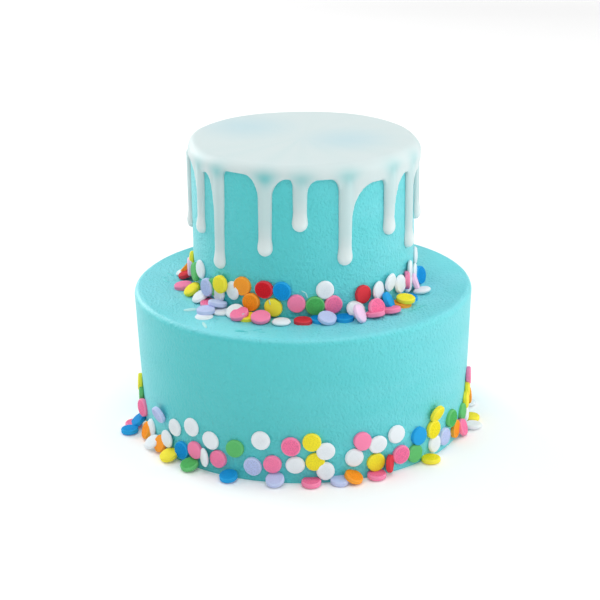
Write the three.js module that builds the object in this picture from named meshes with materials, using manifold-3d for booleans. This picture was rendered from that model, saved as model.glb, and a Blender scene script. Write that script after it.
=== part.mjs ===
// A two-tier celebration cake: two drums of turquoise buttercream, a pale drip icing over the
// upper one, and sugar confetti scattered in rings round the foot of each tier.
// Millimetres, +Z up, the front towards -Y. The origin is the middle of the lower tier's foot.
import * as THREE from 'three';
import { mergeVertices } from 'three/addons/utils/BufferGeometryUtils.js';
import Module from 'manifold-3d';

const wasm = await Module();
wasm.setup();

// Lower tier: an 8 inch sponge under 7 mm of buttercream, a little wider at its shoulder.
const lowerFootRadius = 105.7;
const lowerShoulderRadius = 109.5;
const lowerHeight = 94.7;
const lowerRounding = 4;
const lowerSides = 48;

// Upper tier: a 5 inch sponge under the same buttercream, set a hair to the right.
const upperRadius = 71;
const upperHeight = 94.3;
const upperRounding = 2;
const upperShiftX = 0.75;
const upperSides = 48;

// Clear gap where one piece rests on the next.
const touchGap = 0.3;

// Drip icing: a thin sheet over the upper tier's top and shoulder, running down in drips.
const icingTop = 1.5;
const icingShoulderRadius = 74.2;
const icingRounding = 5;
const icingEdgeProud = 1.8;
const stemHalfWidth = 4.5;
const stemProud = 2.9;
const bulbHalfWidth = 4.9;
const bulbProud = 4.1;
const bulbLength = 13;
const dripRootDepth = 4;
const dripInset = 3;

// Sugar confetti: round tablets with flat faces.
const sprinkleRadius = 5.85;
const sprinkleThickness = 3.2;
const sprinkleSides = 7;
const sprinkleSink = 0.7;
// The confetti round the foot starts a hair over it, so that the cake stands on its flat foot alone.
const sprinkleFootGap = 0.3;

const icingColour = 0xdfe9e8;
const buttercreamColour = 0x62cfd2;

const ledgeHeight = lowerHeight;
const upperFoot = lowerHeight + touchGap;
const upperTop = upperFoot + upperHeight;

// The nine drips over the front, from the left side round to the right. at is the angle from the
// front in degrees, fall the depth of the tip under the tier's top, and arch the depth of the
// icing's edge in the gap to the right. A web is the fillet between a drip and that edge, as its
// width and height.
const frontDrips = [
  { at: -87, fall: 56, leftWeb: [3, 6], arch: 7, rightWeb: [3, 6] },
  { at: -62.6, fall: 51, leftWeb: [13, 24], arch: 9.3, rightWeb: [2, 5] },
  { at: -46.6, fall: 69, leftWeb: [6, 25], arch: 5.2, rightWeb: [4, 8] },
  { at: -19.4, fall: 55.5, leftWeb: [7.5, 14], arch: 5.9, rightWeb: [10.5, 15] },
  { at: -2, fall: 39, leftWeb: [2, 4], arch: 6.7, rightWeb: [7, 10] },
  { at: 20.4, fall: 62, leftWeb: [5.5, 8], arch: 12.2, rightWeb: [15, 22] },
  { at: 47, fall: 48.5, leftWeb: [2.5, 5], arch: 12.6, rightWeb: [12, 24] },
  { at: 66.5, fall: 63.5, leftWeb: [1.5, 3], arch: 17, rightWeb: [9, 20] },
  { at: 86, fall: 52, leftWeb: [2, 4], arch: 9, rightWeb: [8, 14] },
];
const backDripCount = 8;
const backFall = [38, 68];
const backArch = [6, 13];

// Rings of confetti over the front half; the back half repeats those that lie well to the front.
// at lists the tablets of a row by their angle from the front in degrees. up is the height of
// their middles over the ring's foot, out their distance from the wall, lift how high they lie on
// others, proud how far they stand off the wall over others, lean their tilt from lying flat, and
// twist their sideways turn.
const upperWallRows = [
  { up: 19, at: [-65] },
  { up: 17.6, at: [-32, -20, -11, 10] },
  { up: 18, at: [85] },
  { up: 16, twist: -6, at: [-88] },
  { up: 16, twist: 16, proud: 0.6, at: [67.5] },
  { up: 15.9, proud: 1.9, at: [-45] },
  { up: 14.4, lean: 98, twist: 12, proud: 0.8, at: [47.4] },
  { up: 13.6, twist: 4, proud: 0.4, at: [-73.5] },
  { up: 13.6, twist: -10, at: [-38] },
  { up: 12.5, proud: 1.8, at: [-86] },
  { up: 11.8, twist: 10, at: [-51, 30] },
  { up: 11.6, twist: 20, proud: 0.8, at: [39] },
  { up: 10.5, twist: -4, proud: 0.6, at: [56] },
  { up: 10.5, twist: 26, proud: 0.8, at: [63.2] },
  { up: 10.6, lean: 86, twist: 2, proud: 2, at: [-55.4] },
  { up: 9.6, at: [-4] },
  { up: 9.6, at: [-48] },
  { up: 8.2, at: [5, 14, 81] },
  { up: 8.4, proud: 0.5, at: [-27] },
  { up: 6.8, at: [-15.5, 66] },
];
const ledgeRows = [
  { out: 19, lift: -1.2, lean: 3, at: [-43.6] },
  { out: 15.4, lift: 1.5, lean: 4, at: [-45] },
  { out: 6, lift: 2.8, lean: -12, at: [-44.5] },
  { out: 9.6, lean: -3, at: [-10.3] },
  { out: 8.6, lift: -0.3, lean: -11, at: [69.9] },
  { out: 7.5, lean: 1, at: [-40.9, -27, -0.9, 17.9, 50.8] },
  { out: 5.4, lean: 1, at: [7, 58.6] },
  { out: 9.3, lift: 2.7, lean: 6, at: [51.7] },
  { out: 11.6, lean: -12, at: [31.5, 40.3] },
  { out: 9.8, lift: 0.5, lean: 19, twist: -18, at: [-29.8] },
  { out: 9.8, lift: 0.5, lean: 19, twist: 18, at: [-19.5, 9.6] },
  { out: 7.6, lean: 7, at: [-82] },
  { out: 7.8, lean: 30, at: [-33.2] },
  { out: 4.6, lean: 31, at: [-71, -60.2] },
  { out: 4.6, lean: 45, at: [24.5] },
  { out: 10, lean: 62, at: [33] },
  { out: 8, lean: 50, at: [-102] },
  { out: 13.8, lean: 62, twist: 50, at: [23.2] },
  { out: 5.3, lean: 60, twist: 35, at: [43] },
  { out: 3.2, lean: 70, twist: 14, at: [73] },
  { out: 4.2, lean: 80, twist: -26, at: [84] },
  { out: 3.4, lean: 5, at: [-53.4] },
  { out: 6, lift: 0.4, lean: 20, at: [-96] },
  { out: 9, lean: 16, at: [-100.5] },
];
const lowerWallRows = [
  { up: 34, proud: 0.6, at: [80.5] },
  { up: 30.5, lean: 112, proud: 1.6, at: [49] },
  { up: 30.5, proud: 0.5, at: [-84] },
  { up: 28.2, at: [-41, -14.7, 2] },
  { up: 26, proud: 0.5, at: [79.5] },
  { up: 26.5, lean: 112, proud: 1.6, at: [-58] },
  { up: 25.8, at: [-4.8, 18.8, 31.3] },
  { up: 23.6, proud: 0.5, at: [-82.5, 86] },
  { up: 22.6, at: [-49.5, -33] },
  { up: 22, proud: 1.1, at: [6.4, 24] },
  { up: 21, at: [-23.8] },
  { up: 19.6, proud: 0.5, at: [48, 77] },
  { up: 19.2, at: [41, 60] },
  { up: 16.8, proud: 1, twist: 14, at: [-77, 85] },
  { up: 15.3, at: [3, 16, 71.5] },
  { up: 12.9, at: [-40, -11, -3.5] },
  { up: 12.3, proud: 1.2, at: [-54] },
  { up: 11.3, at: [-30.3, 33.3] },
  { up: 10.7, twist: -36, proud: 1.5, at: [-35.5] },
  { up: 10, at: [-67.6, -17.7, 23.7, 55.4] },
  { up: 9, proud: 1, at: [6.3, 78] },
  { up: 8.6, at: [-46.4, 39.3, 49.3, 64.2] },
  { up: 8.4, proud: 0.5, at: [-84, -91] },
  { up: 7.6, twist: 46, proud: 2, at: [28.4] },
];
const floorRows = [
  { out: 8.4, lean: 3, at: [-82] },
  { out: 12, lean: 1, at: [-77.3] },
  { out: 5.4, lean: 38, at: [-81, -62] },
  { out: 5.4, lean: 20, at: [-51, -40.8] },
  { out: 5.3, lean: 10, at: [-25.5] },
  { out: 4.2, lean: 22, at: [-10] },
  { out: 4.4, lean: 24, twist: 50, at: [15.3] },
  { out: 3.6, lean: 5, at: [1.6, 10.8, 23.4] },
  { out: 4.8, lean: 1, at: [45.2, 83, 96] },
  { out: 7.3, lean: 2, at: [76.4] },
  { out: 3.2, lean: 70, at: [-70.4, -58, 69.2] },
];
const backReach = 69.5;
const uprightLean = 90;
const heightDrift = 0.4;
const leanDrift = 3;
const twistDrift = 3;

// Small repeatable random numbers from 0 to 1.
function seededDraws(seed) {
  let state = seed;
  return () => {
    state = (state * 1664525 + 1013904223) % 4294967296;
    return state / 4294967296;
  };
}

// A number drawn evenly between two limits.
function between(draw, [low, high]) {
  return low + (high - low) * draw();
}

// The closed solid of a geometry whose faces meet only by position.
function solidOf(geometry) {
  const bare = geometry.clone();
  bare.deleteAttribute('normal');
  bare.deleteAttribute('uv');
  const merged = mergeVertices(bare, 1e-3);
  const corners = merged.index.array;
  const triVerts = [];
  for (let i = 0; i < corners.length; i += 3) {
    const [a, b, c] = [corners[i], corners[i + 1], corners[i + 2]];
    if (a !== b && b !== c && c !== a) triVerts.push(a, b, c);
  }
  const vertProperties = new Float32Array(merged.attributes.position.array);
  return new wasm.Manifold(new wasm.Mesh({ numProp: 3, vertProperties, triVerts: new Uint32Array(triVerts) }));
}

// The geometry of a closed solid.
function geometryOf(solid) {
  const mesh = solid.getMesh();
  const geometry = new THREE.BufferGeometry();
  geometry.setAttribute('position', new THREE.BufferAttribute(new Float32Array(mesh.vertProperties), 3));
  geometry.setIndex(new THREE.BufferAttribute(new Uint32Array(mesh.triVerts), 1));
  geometry.computeVertexNormals();
  return geometry;
}

// A geometry from corner points and the triangles between them.
function geometryFrom(points, triangles) {
  const geometry = new THREE.BufferGeometry();
  geometry.setAttribute('position', new THREE.Float32BufferAttribute(points.flat(), 3));
  geometry.setIndex(triangles.flat());
  return geometry;
}

// A drum turned about Z from its foot up to a rounded shoulder.
function makeDrum(footRadius, shoulderRadius, foot, height, rounding, sides) {
  const profile = [new THREE.Vector2(0, foot), new THREE.Vector2(footRadius, foot)];
  const arcSteps = 3;
  for (let i = 0; i <= arcSteps; i++) {
    const turn = (i / arcSteps) * (Math.PI / 2);
    const radius = shoulderRadius - rounding * (1 - Math.cos(turn));
    profile.push(new THREE.Vector2(radius, foot + height - rounding * (1 - Math.sin(turn))));
  }
  profile.push(new THREE.Vector2(0, foot + height));
  return new THREE.LatheGeometry(profile, sides).rotateX(Math.PI / 2);
}

// One tablet lying flat at the origin with its axis along Z, every face grown outwards by a margin.
function tabletWith(margin) {
  const radius = sprinkleRadius + margin / Math.cos(Math.PI / sprinkleSides);
  const tablet = new THREE.CylinderGeometry(radius, radius, sprinkleThickness + 2 * margin, sprinkleSides);
  return solidOf(tablet.rotateX(Math.PI / 2));
}

// The angles of one row, and those that the back half repeats.
function anglesOf(row) {
  const repeated = row.at.filter((angle) => Math.abs(angle) < backReach);
  return [...row.at, ...repeated.map((angle) => angle + 180)];
}

// Half the height of a tablet that leans.
function halfRise(lean) {
  const turn = Math.abs(THREE.MathUtils.degToRad(lean));
  return sprinkleRadius * Math.sin(turn) + (sprinkleThickness / 2) * Math.cos(turn);
}

// Places a tablet at an angle round the cake, a distance from its middle and a height.
function placedTablet(tablet, angle, distance, height, lean, twist, turn) {
  const rad = THREE.MathUtils.degToRad;
  const place = new THREE.Matrix4().makeRotationZ(rad(angle));
  place.multiply(new THREE.Matrix4().makeTranslation(0, -distance, height));
  place.multiply(new THREE.Matrix4().makeRotationZ(rad(twist)));
  place.multiply(new THREE.Matrix4().makeRotationX(rad(lean)));
  place.multiply(new THREE.Matrix4().makeRotationZ(rad(turn)));
  return tablet.transform(place.elements);
}

// Tablets stuck upright on a wall. wallRadius gives the wall's radius at a height over its foot.
function wallTablets(rows, foot, wallRadius, seed, margin) {
  const draw = seededDraws(seed);
  const tablet = tabletWith(margin);
  const solids = [];
  for (const row of rows) {
    for (const angle of anglesOf(row)) {
      const up = row.up + between(draw, [-heightDrift, heightDrift]);
      const lean = (row.lean ?? uprightLean) - between(draw, [0, leanDrift]);
      const twist = (row.twist ?? 0) + between(draw, [-twistDrift, twistDrift]);
      const turn = between(draw, [0, 360 / sprinkleSides]);
      const distance = wallRadius(up) + sprinkleThickness / 2 - sprinkleSink + (row.proud ?? 0);
      const height = foot + Math.max(up, sprinkleRadius + sprinkleFootGap);
      solids.push(placedTablet(tablet, angle, distance, height, lean, twist, turn));
    }
  }
  return solids;
}

// Tablets lying or leaning on a level surface round a wall of the given radius.
function lyingTablets(rows, level, wallRadius, sink, seed) {
  const draw = seededDraws(seed);
  const tablet = tabletWith(0);
  const solids = [];
  for (const row of rows) {
    for (const angle of anglesOf(row)) {
      const lean = row.lean + between(draw, [-leanDrift / 2, leanDrift / 2]);
      const twist = (row.twist ?? 0) + between(draw, [-twistDrift, twistDrift]);
      const turn = between(draw, [0, 360 / sprinkleSides]);
      const height = level + halfRise(lean) - sink + (row.lift ?? 0);
      solids.push(placedTablet(tablet, angle, wallRadius + row.out, height, lean, twist, turn));
    }
  }
  return solids;
}

// The upper tier with the confetti on its wall, every face grown outwards by a margin.
function makeUpperTier(margin) {
  const radius = upperRadius + margin;
  const drum = makeDrum(radius, radius, upperFoot, upperHeight, upperRounding, upperSides);
  const wall = wallTablets(upperWallRows, upperFoot, () => upperRadius, 44, margin);
  return wall.reduce((cake, tablet) => cake.add(tablet), solidOf(drum)).translate([upperShiftX, 0, 0]);
}

// The confetti on the ledge. Where a tablet leans against the upper tier it is trimmed a hair short
// of it, and only its largest part is kept.
function makeLedgeTablets() {
  const room = makeUpperTier(touchGap);
  const tablets = lyingTablets(ledgeRows, ledgeHeight, upperRadius, sprinkleSink, 11);
  return tablets.map((tablet) => {
    const parts = tablet.translate([upperShiftX, 0, 0]).subtract(room).decompose();
    return parts.sort((first, second) => second.volume() - first.volume())[0];
  });
}

// The lower tier with the confetti on its wall, round its foot and on its ledge.
function makeLowerTier() {
  const flare = (lowerShoulderRadius - lowerFootRadius) / lowerHeight;
  const drum = makeDrum(lowerFootRadius, lowerShoulderRadius, 0, lowerHeight, lowerRounding, lowerSides);
  const wall = wallTablets(lowerWallRows, 0, (up) => lowerFootRadius + flare * up, 22, 0);
  const floor = lyingTablets(floorRows, sprinkleFootGap, lowerFootRadius, 0, 33);
  const tablets = [...makeLedgeTablets(), ...wall, ...floor];
  return tablets.reduce((cake, tablet) => cake.add(tablet), solidOf(drum));
}

// Every drip round the cake: the nine of the front, then evenly spread ones with seeded sizes.
function allDrips() {
  const draw = seededDraws(55);
  const first = frontDrips[0].at + 360;
  const last = frontDrips[frontDrips.length - 1].at;
  const step = (first - last) / (backDripCount + 1);
  const backDrips = [];
  for (let i = 1; i <= backDripCount; i++) {
    backDrips.push({
      at: last + step * (i + between(draw, [-0.12, 0.12])),
      fall: between(draw, backFall),
      leftWeb: [between(draw, [2, 6]), between(draw, [3, 8])],
      arch: between(draw, backArch),
      rightWeb: [between(draw, [6, 11]), between(draw, [8, 18])],
    });
  }
  return [...frontDrips, ...backDrips];
}

// How far an edge hangs below its arch beside a drip: a quarter ellipse over the web's width.
function webDrop([width, height], along) {
  if (along >= width) return 0;
  return height * (1 - Math.sqrt(1 - (1 - along / width) ** 2));
}

// Angles round the sheet, each with the depth of its lower edge there.
function sheetStations(drips) {
  const stations = [];
  const degreesPerMm = 180 / (Math.PI * upperRadius);
  const halfDrip = stemHalfWidth * 0.9 * degreesPerMm;
  const shares = [0, 0.1, 0.32, 0.68, 0.92, 1];
  drips.forEach((drip, i) => {
    const next = drips[(i + 1) % drips.length];
    const start = drip.at + halfDrip;
    const end = next.at - halfDrip + (next.at < drip.at ? 360 : 0);
    const gap = (end - start) / degreesPerMm;
    for (const share of shares) {
      const drop = webDrop(drip.rightWeb, share * gap) + webDrop(next.leftWeb, (1 - share) * gap);
      stations.push({ angle: start + share * (end - start), depth: drip.arch + drop });
    }
  });
  return stations;
}

// The sheet of icing over the top and shoulder, down to its scalloped edge.
function makeSheet(drips) {
  const stations = sheetStations(drips);
  const top = upperTop + icingTop;
  const points = [[0, 0, top], [0, 0, upperTop - icingRounding]];
  const triangles = [];
  const edgeRadius = upperRadius + icingEdgeProud;
  for (const { angle, depth } of stations) {
    const turn = THREE.MathUtils.degToRad(angle);
    const profile = [];
    for (const share of [0, 0.5, 1]) {
      const bend = (1 - share) * (Math.PI / 2);
      profile.push([
        icingShoulderRadius - icingRounding * (1 - Math.cos(bend)),
        top - icingRounding * (1 - Math.sin(bend)),
      ]);
    }
    profile.push([edgeRadius, upperTop - depth + 1]);
    profile.push([edgeRadius - 0.8, upperTop - depth]);
    profile.push([upperRadius - dripInset, upperTop - depth]);
    for (const [radius, height] of profile) {
      points.push([radius * Math.sin(turn), -radius * Math.cos(turn), height]);
    }
  }
  const rows = 6;
  for (let i = 0; i < stations.length; i++) {
    const here = 2 + i * rows;
    const next = 2 + ((i + 1) % stations.length) * rows;
    triangles.push([0, here, next], [1, next + rows - 1, here + rows - 1]);
    for (let j = 0; j < rows - 1; j++) {
      triangles.push([here + j, here + j + 1, next + j + 1], [here + j, next + j + 1, next + j]);
    }
  }
  return geometryFrom(points, triangles);
}

// The cross-section of a drip on a flat wall: a low half round, closed behind the wall's face.
function dripSection(halfWidth, proud) {
  const section = [];
  const arcSteps = 5;
  for (let i = 0; i <= arcSteps; i++) {
    const turn = (i / arcSteps) * Math.PI;
    section.push([-halfWidth * Math.cos(turn), proud * Math.sin(turn)]);
  }
  section.push([halfWidth, -dripInset], [-halfWidth, -dripInset]);
  return section;
}

// One drip: a stem that runs down the wall and swells to a round-ended bulb.
function makeDrip({ at, fall }) {
  const bulbTop = Math.max(fall - bulbLength, dripRootDepth + 6);
  const rings = [
    [dripRootDepth, stemHalfWidth, stemProud],
    [bulbTop, stemHalfWidth, stemProud],
    [fall - bulbHalfWidth, bulbHalfWidth, bulbProud],
    [fall - bulbHalfWidth * 0.4, bulbHalfWidth * 0.8, bulbProud * 0.85],
    [fall, bulbHalfWidth * 0.3, bulbProud * 0.4],
  ];
  const count = dripSection(1, 1).length;
  const points = [];
  const triangles = [];
  for (const [depth, halfWidth, proud] of rings) {
    for (const [along, out] of dripSection(halfWidth, proud)) {
      const turn = THREE.MathUtils.degToRad(at) + along / upperRadius;
      const radius = upperRadius + out;
      points.push([radius * Math.sin(turn), -radius * Math.cos(turn), upperTop - depth]);
    }
  }
  for (let j = 0; j < rings.length - 1; j++) {
    for (let i = 0; i < count; i++) {
      const [a, b] = [j * count + i, j * count + ((i + 1) % count)];
      triangles.push([a, a + count, b + count], [a, b + count, b]);
    }
  }
  const lastRing = (rings.length - 1) * count;
  for (let i = 1; i < count - 1; i++) {
    triangles.push([0, i, i + 1], [lastRing, lastRing + i + 1, lastRing + i]);
  }
  return geometryFrom(points, triangles);
}

// The drip icing, hollowed out to lie over the upper tier.
function makeDripIcing() {
  const drips = allDrips();
  const room = makeDrum(upperRadius + touchGap, upperRadius + touchGap, upperFoot, upperHeight + touchGap,
    upperRounding, upperSides);
  let icing = solidOf(makeSheet(drips));
  for (const drip of drips) icing = icing.add(solidOf(makeDrip(drip)));
  return icing.subtract(solidOf(room)).translate([upperShiftX, 0, 0]);
}

// A named piece with its own finish.
function piece(name, solid, color, roughness) {
  const finish = new THREE.MeshStandardMaterial({ color, roughness, metalness: 0 });
  const mesh = new THREE.Mesh(geometryOf(solid), finish);
  mesh.name = name;
  return mesh;
}

const cake = new THREE.Group();
cake.add(piece('lower_tier', makeLowerTier(), buttercreamColour, 0.6));
cake.add(piece('upper_tier', makeUpperTier(0), buttercreamColour, 0.6));
cake.add(piece('drip_icing', makeDripIcing(), icingColour, 0.35));

export default cake;
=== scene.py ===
import math

import bmesh
import bpy
import numpy as np
from mathutils import Matrix, Vector


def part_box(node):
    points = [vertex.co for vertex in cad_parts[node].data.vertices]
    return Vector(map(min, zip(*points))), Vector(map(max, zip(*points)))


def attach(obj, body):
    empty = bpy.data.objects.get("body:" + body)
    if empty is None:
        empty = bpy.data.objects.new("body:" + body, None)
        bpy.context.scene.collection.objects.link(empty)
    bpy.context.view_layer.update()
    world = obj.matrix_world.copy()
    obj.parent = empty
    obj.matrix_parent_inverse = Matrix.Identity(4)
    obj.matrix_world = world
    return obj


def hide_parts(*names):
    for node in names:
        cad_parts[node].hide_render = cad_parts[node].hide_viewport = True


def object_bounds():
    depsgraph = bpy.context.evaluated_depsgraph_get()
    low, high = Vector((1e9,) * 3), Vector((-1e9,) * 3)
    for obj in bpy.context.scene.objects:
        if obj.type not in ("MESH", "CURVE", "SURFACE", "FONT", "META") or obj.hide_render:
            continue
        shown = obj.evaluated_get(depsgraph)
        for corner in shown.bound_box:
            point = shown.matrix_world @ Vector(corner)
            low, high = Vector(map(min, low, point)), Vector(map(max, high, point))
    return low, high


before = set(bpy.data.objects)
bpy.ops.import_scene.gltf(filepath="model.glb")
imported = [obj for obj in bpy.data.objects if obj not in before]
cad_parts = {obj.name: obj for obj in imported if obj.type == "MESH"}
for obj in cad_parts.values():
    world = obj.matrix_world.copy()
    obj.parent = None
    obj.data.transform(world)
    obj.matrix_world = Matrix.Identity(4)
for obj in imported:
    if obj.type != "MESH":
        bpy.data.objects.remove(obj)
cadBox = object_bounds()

mm = 0.001          # everything below is in millimetres, and Blender works in metres
hair = 1e-6         # heights closer than this, in metres, count as the same
body = "root"


# Selecting and shaping

def deselectAll():
    if bpy.context.object and bpy.context.object.mode != "OBJECT":
        bpy.ops.object.mode_set(mode="OBJECT")
    bpy.ops.object.select_all(action="DESELECT")


def makeActive(*pieces):
    deselectAll()
    for piece in pieces:
        piece.select_set(True)
    bpy.context.view_layer.objects.active = pieces[0]


def startEdit(piece, kind):
    # opens a piece in edit mode with nothing selected; kind is VERT, EDGE or FACE
    makeActive(piece)
    bpy.ops.object.mode_set(mode="EDIT")
    bpy.ops.mesh.select_mode(type=kind)
    bpy.ops.mesh.select_all(action="DESELECT")


def endEdit():
    bpy.ops.object.mode_set(mode="OBJECT")


def pick(parts, test):
    # selects the verts, edges or faces that pass the test, and nothing else
    bpy.ops.mesh.select_all(action="DESELECT")
    mesh = bmesh.from_edit_mesh(bpy.context.object.data)
    for part in getattr(mesh, parts):
        if test(part):
            part.select_set(True)
    mesh.select_flush_mode()
    bmesh.update_edit_mesh(bpy.context.object.data)


def heightsOf(part):
    return [vertex.co.z for vertex in part.verts]


def isUpright(edge):
    # an edge that runs down a wall, not one of the short steps of a rounding
    low, high = sorted(heightsOf(edge))
    return high - low > 10 * mm


def settle(piece):
    # bakes the piece's place and turn into its mesh, so that its object sits at the origin
    makeActive(piece)
    bpy.ops.object.transform_apply(location=True, rotation=True, scale=True)


def applyModifier(piece, kind, **values):
    makeActive(piece)
    modifier = piece.modifiers.new(kind.title(), kind)
    for name, value in values.items():
        setattr(modifier, name, value)
    bpy.ops.object.modifier_apply(modifier=modifier.name)


def joinAll(name, pieces):
    makeActive(*pieces)
    bpy.ops.object.join()
    joined = bpy.context.object
    joined.name = name
    joined.data.name = name
    return joined


def placedCopy(shape, place):
    # a copy with a mesh of its own, shaped and put in its place by a matrix
    copy = shape.copy()
    copy.data = shape.data.copy()
    copy.data.transform(place)
    bpy.context.collection.objects.link(copy)
    return copy


def removePiece(piece):
    bpy.data.objects.remove(piece, do_unlink=True)


def shadeSmooth(piece, degrees):
    makeActive(piece)
    bpy.ops.object.shade_smooth_by_angle(angle=math.radians(degrees))


def dress(piece, material):
    piece.data.materials.clear()
    piece.data.materials.append(material)


def handIn(piece, slot, *nodes):
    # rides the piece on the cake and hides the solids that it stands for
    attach(piece, body)
    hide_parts(*nodes)


def pointsOf(piece):
    points = np.empty(len(piece.data.vertices) * 3, np.float32)
    piece.data.vertices.foreach_get("co", points)
    return points.reshape(-1, 3).astype(float)


def setPoints(piece, points):
    piece.data.vertices.foreach_set("co", points.astype(np.float32).ravel())
    piece.data.update()


def storeOnPoints(piece, name, values):
    layer = piece.data.attributes.new(name, "FLOAT", "POINT")
    layer.data.foreach_set("value", np.asarray(values, np.float32))


def anglesOf(points):
    # each point's angle round the cake in degrees: 0 at the front, and growing to the right
    return np.degrees(np.arctan2(points[:, 0], -points[:, 1]))


def anglePast(degrees, at):
    # how far an angle lies past another, from -180 to 180
    return (degrees - at + 180) % 360 - 180


def rising(values, start, span):
    # 0 up to the start, and growing to 1 over the span
    return np.clip((values - start) / span, 0, 1)


def seededDraws(seed):
    # small repeatable random numbers from 0 to 1
    state = seed
    while True:
        state = (state * 1664525 + 1013904223) % 4294967296
        yield state / 4294967296


def between(draws, low, high):
    return low + (high - low) * next(draws)


# Material nodes

def toLinear(colour):
    # the eye's colour values, as they read off a screen, made into light
    return tuple(c / 12.92 if c <= 0.04045 else ((c + 0.055) / 1.055) ** 2.4 for c in colour) + (1,)


def newMaterial(name, colour, roughness):
    material = bpy.data.materials.new(name)
    material.use_nodes = True
    shader = material.node_tree.nodes["Principled BSDF"]
    shader.inputs["Base Color"].default_value = toLinear(colour)
    shader.inputs["Roughness"].default_value = roughness
    return material, material.node_tree.nodes, material.node_tree.links, shader


def objectNoise(nodes, links, grainSize, detail, stretch=(1, 1, 1)):
    # a noise whose lumps are about grainSize across
    coordinates = nodes.new("ShaderNodeTexCoord")
    mapping = nodes.new("ShaderNodeMapping")
    mapping.inputs["Scale"].default_value = stretch
    noise = nodes.new("ShaderNodeTexNoise")
    noise.inputs["Scale"].default_value = 1 / grainSize
    noise.inputs["Detail"].default_value = detail
    links.new(coordinates.outputs["Object"], mapping.inputs["Vector"])
    links.new(mapping.outputs["Vector"], noise.inputs["Vector"])
    return noise.outputs["Fac"]


def storedValue(nodes, name):
    # what storeOnPoints wrote under that name
    node = nodes.new("ShaderNodeAttribute")
    node.attribute_name = name
    return node.outputs["Fac"]


def remap(nodes, links, value, fromLow, fromHigh, toLow, toHigh):
    node = nodes.new("ShaderNodeMapRange")
    node.inputs["From Min"].default_value = fromLow
    node.inputs["From Max"].default_value = fromHigh
    node.inputs["To Min"].default_value = toLow
    node.inputs["To Max"].default_value = toHigh
    links.new(value, node.inputs["Value"])
    return node.outputs["Result"]


def mixColours(nodes, links, share, first, second):
    # a mix of two colours; each is a colour or a socket
    node = nodes.new("ShaderNodeMix")
    node.data_type = "RGBA"
    links.new(share, node.inputs["Factor"])
    for socket, colour in ((node.inputs["A"], first), (node.inputs["B"], second)):
        if isinstance(colour, bpy.types.NodeSocket):
            links.new(colour, socket)
        else:
            socket.default_value = toLinear(colour)
    return node.outputs["Result"]


def nearness(nodes, links, place, reach):
    # 1 at a place, and falling softly to 0 at its reach
    coordinates = nodes.new("ShaderNodeTexCoord")
    distance = nodes.new("ShaderNodeVectorMath")
    distance.operation = "DISTANCE"
    distance.inputs[1].default_value = place
    links.new(coordinates.outputs["Object"], distance.inputs[0])
    node = nodes.new("ShaderNodeMapRange")
    node.interpolation_type = "SMOOTHSTEP"
    node.inputs["From Max"].default_value = reach
    node.inputs["To Min"].default_value = 1
    node.inputs["To Max"].default_value = 0
    links.new(distance.outputs["Value"], node.inputs["Value"])
    return node.outputs["Result"]


def soften(shader, finish):
    # lets light wander under the surface
    shader.inputs["Subsurface Weight"].default_value = finish["softness"]
    shader.inputs["Subsurface Radius"].default_value = finish["softRadius"]
    shader.inputs["Subsurface Scale"].default_value = finish["softScale"] * mm


def addBumps(nodes, links, shader, layers):
    # layers are (height socket, depth in metres), from the coarsest to the finest
    normal = None
    for height, depth in layers:
        bump = nodes.new("ShaderNodeBump")
        bump.inputs["Strength"].default_value = 1
        bump.inputs["Distance"].default_value = depth
        links.new(height, bump.inputs["Height"])
        if normal:
            links.new(normal, bump.inputs["Normal"])
        normal = bump.outputs["Normal"]
    links.new(normal, shader.inputs["Normal"])


# Camera, light and floor

cameraView = {
    "focal": 105,                       # on a 36 mm sensor
    "eye": (-2.1, -1075.8, 468.2),
    "down": 19.783,                     # degrees below the horizon
    "roll": 0.891,
}
studio = {
    "worldStrength": 0.3,
    "floorSize": 12000, "floorDrop": 0.05,
    "floorColour": (0.97, 0.97, 0.97), "floorRoughness": 0.9,
    "floorGlow": 0.07,                  # keeps the paper white round the cake
    "farGlow": 0.75, "farReach": 3200,  # and out to where no lamp lights it
    "glowChange": (0.1, 0.55),          # the nearness at which the far glow ends and the near one starts
    # name, place, side and power; every lamp is aimed at the middle of the cake
    "lamps": [
        ("topLight", (0, 0, 2000), 1800, 17),
        ("frontTopLight", (0, -1500, 1600), 1200, 10),
        ("leftBackLight", (-1400, 1400, 900), 1200, 25),
        ("leftLight", (-1900, 0, 800), 1200, 3.2),
        ("rightLight", (1900, 0, 800), 1200, 14.5),
        ("rightFrontLight", (1400, -1400, 800), 1200, 4.5),
        ("rightBackLight", (1400, 1400, 900), 1200, 4),
    ],
    "aim": (0, 0, 90),
}


def addCamera():
    bpy.ops.object.camera_add()
    camera = bpy.context.object
    camera.name = "camera"
    camera.data.lens = cameraView["focal"]
    camera.data.sensor_width = 36
    tilt = Matrix.Rotation(math.radians(90 - cameraView["down"]), 4, "X")
    roll = Matrix.Rotation(math.radians(-cameraView["roll"]), 4, "Z")
    camera.matrix_world = Matrix.Translation(Vector(cameraView["eye"]) * mm) @ tilt @ roll
    bpy.context.scene.camera = camera


def addStudio():
    aim = Vector(studio["aim"]) * mm
    for name, place, side, power in studio["lamps"]:
        place = Vector(place) * mm
        bpy.ops.object.light_add(type="AREA", location=place)
        lamp = bpy.context.object
        lamp.name = name
        lamp.data.size = side * mm
        lamp.data.energy = power
        lamp.rotation_euler = (aim - place).to_track_quat("-Z", "Y").to_euler()
    world = bpy.data.worlds.new("softRoom")
    world.use_nodes = True
    nodes, links = world.node_tree.nodes, world.node_tree.links
    background = nodes["Background"]
    background.inputs["Color"].default_value = (1, 1, 1, 1)
    # the room gives little light, but is white where it is seen behind the cake
    seen = nodes.new("ShaderNodeLightPath").outputs["Is Camera Ray"]
    strength = remap(nodes, links, seen, 0, 1, studio["worldStrength"], 1)
    links.new(strength, background.inputs["Strength"])
    bpy.context.scene.world = world
    bpy.context.scene.view_settings.view_transform = "Standard"


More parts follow.
